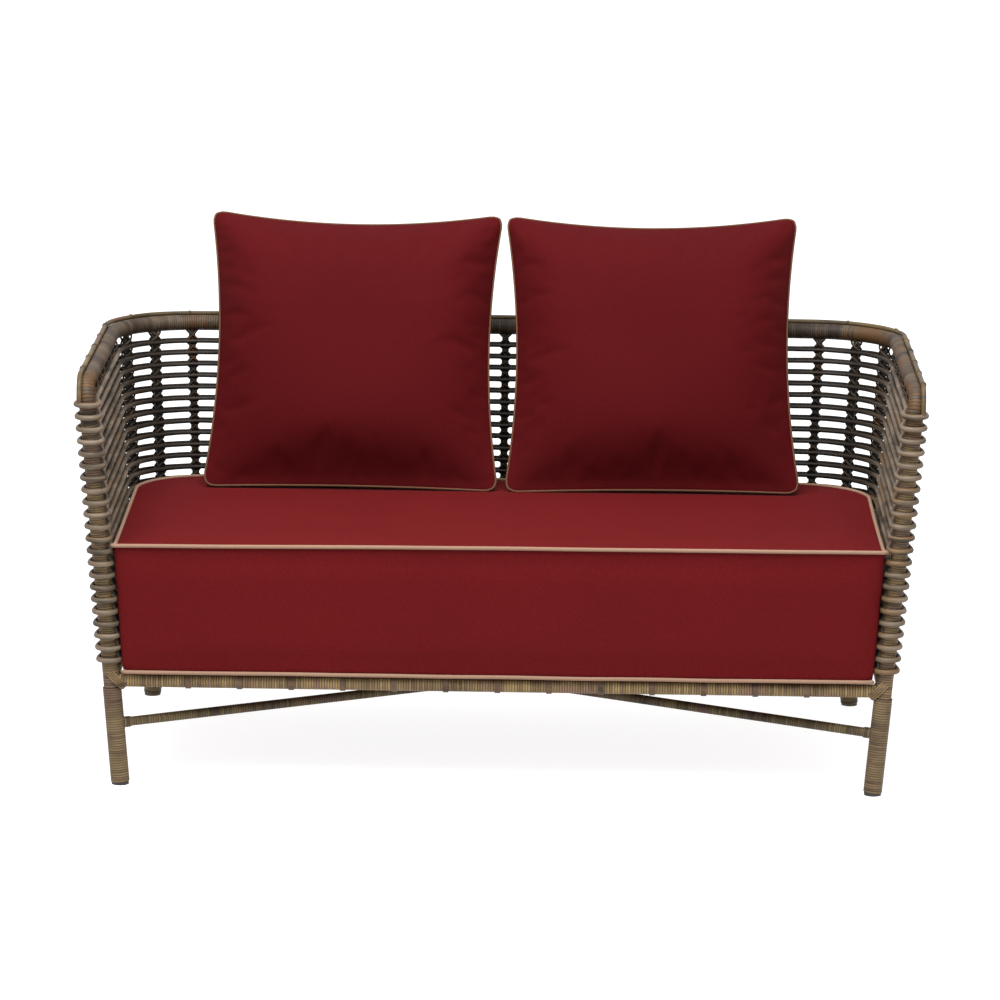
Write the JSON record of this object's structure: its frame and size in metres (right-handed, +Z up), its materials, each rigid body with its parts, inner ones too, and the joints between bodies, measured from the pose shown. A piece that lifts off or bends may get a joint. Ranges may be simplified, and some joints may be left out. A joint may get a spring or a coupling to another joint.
{
  "type": "patio loveseat",
  "caption": "Barrel-shaped patio loveseat: strand-wrapped tube frame, open woven rod wall, crossed stretchers, piped boxed seat cushion and loose throw pillows.",
  "frame": {"origin": "centre of the loveseat's footprint, on the floor", "axes": "+X along the seat to the right as seen from the front, +Y from the front to the back, +Z up"},
  "size_m": [1.431, 0.7532, 0.8837],
  "materials": {
    "frame_tube": "satin",
    "resin_strand": "matte",
    "resin_rod": "matte",
    "stake_strand": "matte",
    "deck_strap": "matte",
    "glide_plastic": "matte",
    "cushion_fabric": "matte",
    "piping_fabric": "matte",
    "seat_foam": "matte",
    "fibre_fill": "matte",
    "zip_nylon": "matte"
  },
  "bodies": {
    "frame": {"deck_straps_front_to_back": "deck_strap", "deck_straps_side_to_side": "deck_strap", "front_glide_left": "glide_plastic", "front_glide_right": "glide_plastic", "front_post_left": "frame_tube", "front_post_right": "frame_tube", "front_post_wrap_left": "resin_strand", "front_post_wrap_right": "resin_strand", "rear_glide_left": "glide_plastic", "rear_glide_right": "glide_plastic", "rear_leg_left": "frame_tube", "rear_leg_right": "frame_tube", "rear_leg_wrap_left": "resin_strand", "rear_leg_wrap_right": "resin_strand", "rim_cane": "resin_rod", "seat_crossbar_left": "frame_tube", "seat_crossbar_right": "frame_tube", "seat_rail_back": "frame_tube", "seat_rail_back_wrap": "resin_strand", "seat_rail_front": "frame_tube", "seat_rail_front_wrap": "resin_strand", "stakes_back": "stake_strand", "stakes_left": "stake_strand", "stakes_right": "stake_strand", "stretcher_long": "frame_tube", "stretcher_long_wrap": "resin_strand", "stretcher_short_front": "frame_tube", "stretcher_short_front_wrap": "resin_strand", "stretcher_short_rear": "frame_tube", "stretcher_short_rear_wrap": "resin_strand", "top_rail": "frame_tube", "top_rail_wrap": "resin_strand", "wall_rods_01": "resin_rod", "wall_rods_02": "resin_rod", "wall_rods_03": "resin_rod", "wall_rods_04": "resin_rod", "wall_rods_05": "resin_rod", "wall_rods_06": "resin_rod", "wall_rods_07": "resin_rod", "wall_rods_08": "resin_rod", "wall_rods_09": "resin_rod", "wall_rods_10": "resin_rod", "wall_rods_11": "resin_rod"},
    "seat_cushion": {"seat_cushion_cover": "cushion_fabric", "seat_cushion_foam": "seat_foam", "seat_cushion_zip": "zip_nylon", "seat_piping_bottom": "piping_fabric", "seat_piping_top": "piping_fabric"},
    "pillow_left": {"pillow_cover_left": "cushion_fabric", "pillow_fill_left": "fibre_fill", "pillow_piping_left": "piping_fabric"},
    "pillow_right": {"pillow_cover_right": "cushion_fabric", "pillow_fill_right": "fibre_fill", "pillow_piping_right": "piping_fabric"}
  },
  "joints": [
    {"name": "seat_cushion_lift", "type": "slide", "parent": "frame", "child": "seat_cushion", "axis": [0, 0, 1], "range_m": [0, 0.52]},
    {"name": "pillow_left_lift", "type": "slide", "parent": "seat_cushion", "child": "pillow_left", "axis": [0, 0, 1], "range_m": [0, 0.35]},
    {"name": "pillow_right_lift", "type": "slide", "parent": "seat_cushion", "child": "pillow_right", "axis": [0, 0, 1], "range_m": [0, 0.35]}
  ]
}
